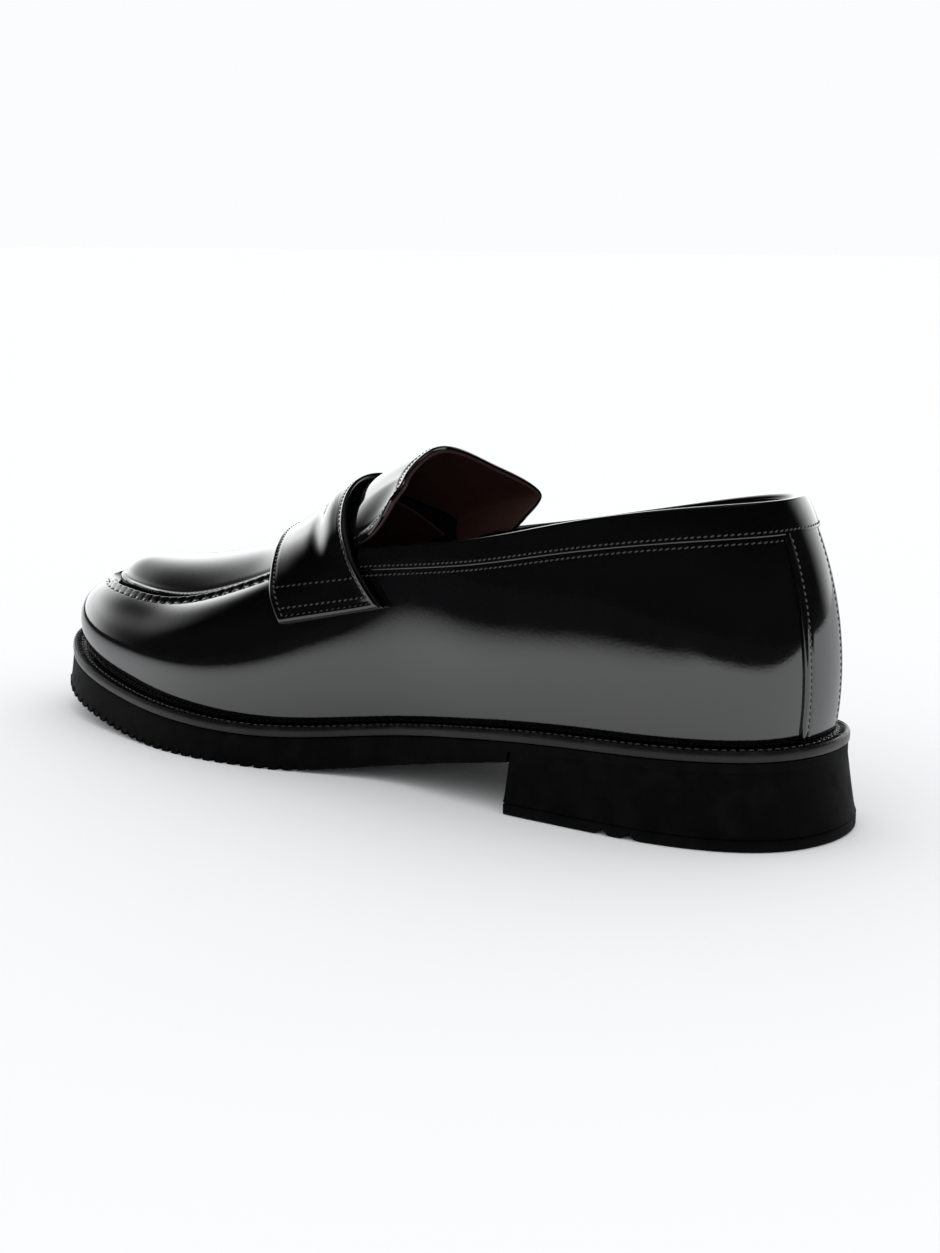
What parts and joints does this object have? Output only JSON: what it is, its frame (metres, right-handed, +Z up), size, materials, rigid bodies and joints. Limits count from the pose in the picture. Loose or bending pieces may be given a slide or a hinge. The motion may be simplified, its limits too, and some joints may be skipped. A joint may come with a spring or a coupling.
{
  "type": "penny loafer",
  "caption": "Men's slip-on penny loafer for the right foot, with a moccasin apron, instep strap, short tongue, welt and ridged rubber sole with a low heel.",
  "frame": {"origin": "on the ground, under the middle of the whole shoe's box", "axes": "+Y from toe to heel, +X to the inner (big toe) side, +Z up"},
  "size_m": [0.1052, 0.3158, 0.1052],
  "materials": {
    "polished_leather": "polished to a high gloss",
    "sole_rubber": "matte moulded",
    "welt_leather": "dull, dyed edge",
    "lining_leather": "matte",
    "fibre_board": "matte",
    "cork": "granular cork, matte",
    "spring_steel": "plain",
    "latex_foam": "soft foam"
  },
  "bodies": {
    "root": {"apron": "polished_leather", "apron_lining": "lining_leather", "back_strip": "polished_leather", "collar_band": "polished_leather", "collar_padding": "latex_foam", "cork_filler": "cork", "heel_block": "sole_rubber", "heel_counter": "fibre_board", "heel_cushion": "latex_foam", "heel_lining": "lining_leather", "heel_nail_1": "spring_steel", "heel_nail_2": "spring_steel", "heel_nail_3": "spring_steel", "heel_nail_4": "spring_steel", "heel_nail_5": "spring_steel", "heel_top_lift": "sole_rubber", "insole_board": "fibre_board", "outsole": "sole_rubber", "quarter_lining_inner": "lining_leather", "quarter_lining_outer": "lining_leather", "shank": "spring_steel", "sock_lining": "lining_leather", "strap": "polished_leather", "strap_backing": "lining_leather", "toe_puff": "fibre_board", "vamp_lining": "lining_leather", "vamp_wall": "polished_leather", "welt": "welt_leather"},
    "tongue": {"tongue": "polished_leather", "tongue_lining": "lining_leather"}
  },
  "joints": [
    {"name": "tongue_flex", "type": "hinge", "parent": "root", "child": "tongue", "pos_m": [-0.00083, -0.02113, 0.0875], "axis": [1, 0, 0], "range_deg": [-8, 5], "stiffness_Nm_per_rad": 0.15}
  ]
}
